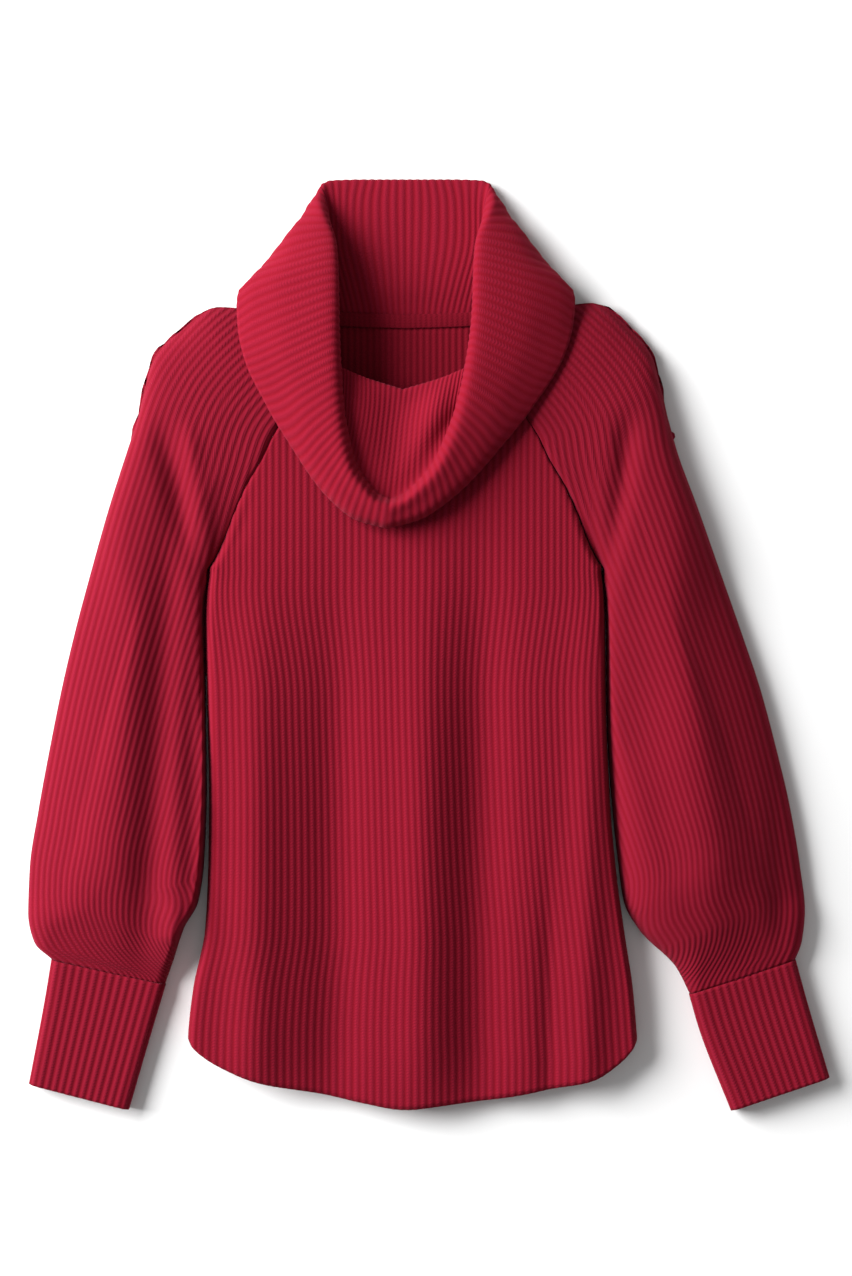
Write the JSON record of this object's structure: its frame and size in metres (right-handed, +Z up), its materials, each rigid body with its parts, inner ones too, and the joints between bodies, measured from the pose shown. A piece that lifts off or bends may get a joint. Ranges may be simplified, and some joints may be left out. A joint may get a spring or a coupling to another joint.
{
  "type": "cowl neck sweater",
  "caption": "Ribbed knit sweater laid flat, with a wide folded cowl collar, balloon raglan sleeves, narrow ribbed cuffs and a curved shirt-tail hem",
  "frame": {"origin": "on the surface that the garment lies on, under the middle of its bounding box", "axes": "+X to the right seen from above, +Y from the hem to the neck, +Z up off the surface"},
  "size_m": [0.692, 0.8042, 0.053],
  "materials": {
    "knit": "matte crimson rib knit, soft and slightly fuzzy",
    "cuff_knit": "matte crimson rib knit, tight",
    "cowl_knit": "matte crimson rib knit, soft and full"
  },
  "bodies": {
    "root": {"back": "knit", "front": "knit", "right_sleeve": "knit", "left_sleeve": "knit", "right_cuff": "cuff_knit", "left_cuff": "cuff_knit", "cowl": "cowl_knit"}
  },
  "joints": []
}
